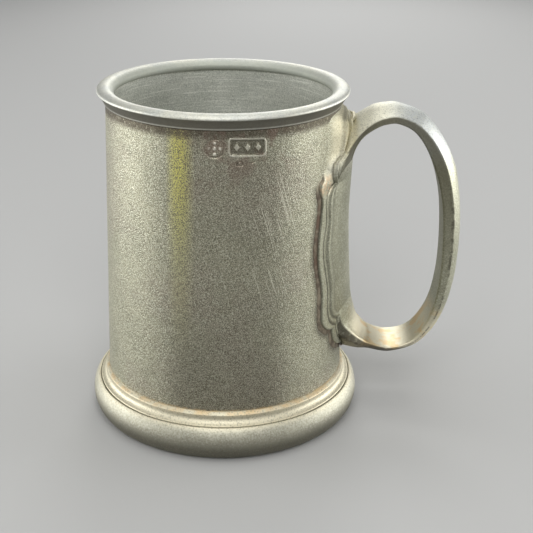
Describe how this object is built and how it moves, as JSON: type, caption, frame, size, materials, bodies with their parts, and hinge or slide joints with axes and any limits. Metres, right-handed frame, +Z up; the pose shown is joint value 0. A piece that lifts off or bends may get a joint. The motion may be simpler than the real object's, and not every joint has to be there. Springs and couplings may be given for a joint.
{
  "type": "pewter tankard",
  "caption": "One-handled pewter tankard: tapered pebbled drum with a smooth overhanging lip, moulded bulging foot and strap handle on a scalloped plate.",
  "frame": {"origin": "on the drum's axis, on the plane that the foot rests on", "axes": "+Z up along the drum's axis, +X towards the handle, Y = 0 is the handle's mirror plane"},
  "size_m": [0.1355, 0.1, 0.1226],
  "materials": {
    "cast_pewter": "pebbled cast skin with grey-green patina, satin",
    "turned_pewter": "smooth turned pewter, satin with a faint warm tint",
    "handle_pewter": "fine-grained casting, worn bright on its edges, dark in its recesses",
    "solder": "dull solder with traces of orange residue"
  },
  "bodies": {
    "root": {"drum": "cast_pewter", "lip_band": "turned_pewter", "foot_ring": "turned_pewter", "base_disc": "turned_pewter", "handle_plate": "handle_pewter", "handle_strap": "handle_pewter", "root_solder": "solder", "plate_solder": "solder", "base_solder": "solder", "foot_solder": "solder", "lip_solder": "solder"}
  },
  "joints": []
}
